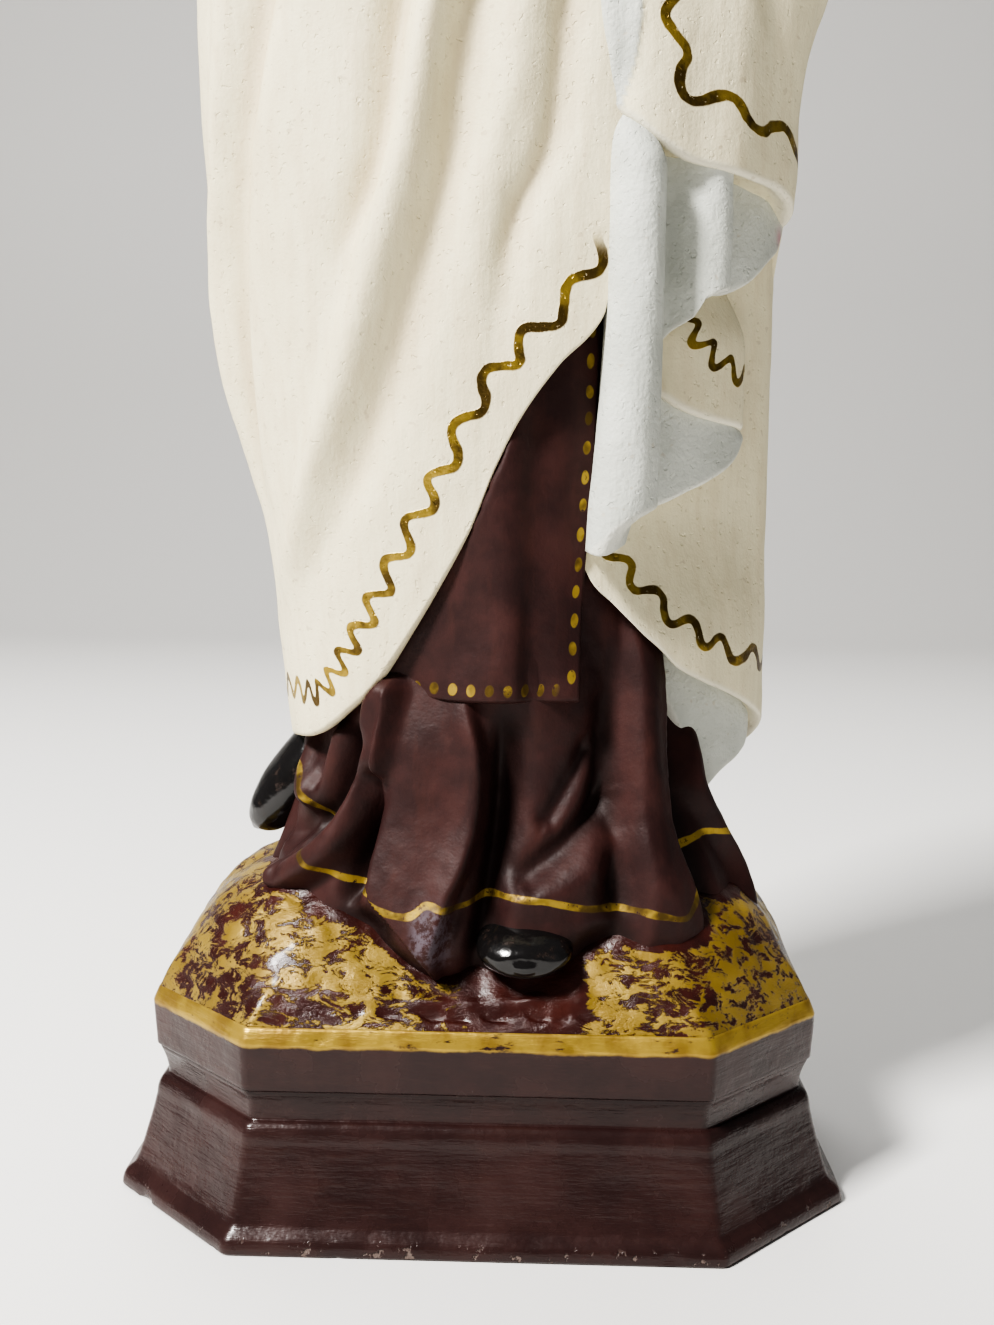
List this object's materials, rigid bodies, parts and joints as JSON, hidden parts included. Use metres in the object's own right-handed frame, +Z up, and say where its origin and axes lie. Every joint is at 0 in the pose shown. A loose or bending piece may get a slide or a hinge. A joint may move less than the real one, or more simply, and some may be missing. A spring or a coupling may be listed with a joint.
{
  "type": "standing religious figure on a moulded plinth",
  "caption": "Standing robed and hooded woman with a wrapped mantle falling in folds at one side, on a rocky mound and an eight-sided moulded plinth.",
  "frame": {"origin": "middle of the plinth's underside", "axes": "+Z up through the figure, -Y towards the front, +X towards the gathered side of the mantle"},
  "size_m": [0.2046, 0.145, 0.5995],
  "materials": {
    "painted_plaster": "hand-painted plaster: matte ivory cloth, satin brown robe, glossy brown plinth, gilt lines"
  },
  "bodies": {
    "root": {"statue": "painted_plaster"}
  },
  "joints": []
}
